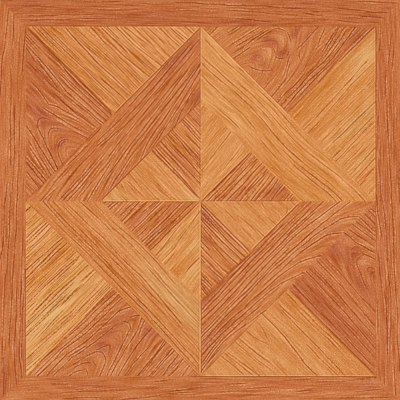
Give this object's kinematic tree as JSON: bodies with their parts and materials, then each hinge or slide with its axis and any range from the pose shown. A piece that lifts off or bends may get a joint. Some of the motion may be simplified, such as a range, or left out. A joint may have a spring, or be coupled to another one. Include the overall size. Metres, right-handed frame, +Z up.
{
  "type": "vinyl floor tile",
  "caption": "Thin square vinyl floor tile with a wood parquet print on its wear face, laid edge to edge and bonded flat by its back.",
  "frame": {"origin": "centre of the back face, on the floor that the tile lies on", "axes": "+Z up out of the printed wear face, X and Y along the square's sides; the print's top edge in the picture is +Y"},
  "size_m": [0.3048, 0.3048, 0.0012],
  "materials": {
    "printed_vinyl": "satin"
  },
  "bodies": {
    "root": {"vinyl_tile": "printed_vinyl"}
  },
  "joints": []
}
